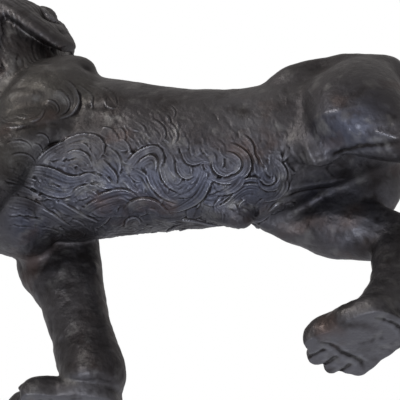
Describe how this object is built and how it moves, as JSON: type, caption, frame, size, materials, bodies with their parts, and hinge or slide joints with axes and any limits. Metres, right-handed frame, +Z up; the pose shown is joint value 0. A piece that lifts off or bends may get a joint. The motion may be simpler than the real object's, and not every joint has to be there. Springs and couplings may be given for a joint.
{
  "type": "lion sculpture",
  "caption": "Cast bronze lion striding with a raised, maned head, curled fur along the flanks and a curved tail, standing free on flat paws.",
  "frame": {"origin": "on the ground, under the middle of the figure's bounding box", "axes": "+X from the head towards the tail, so the lion faces -X; -Y towards the lion's left side; +Z up"},
  "size_m": [0.7018, 0.2092, 0.448],
  "materials": {
    "bronze": "near-black brown patina, satin, slightly rubbed on the high places"
  },
  "bodies": {
    "root": {"lion": "bronze"}
  },
  "joints": []
}
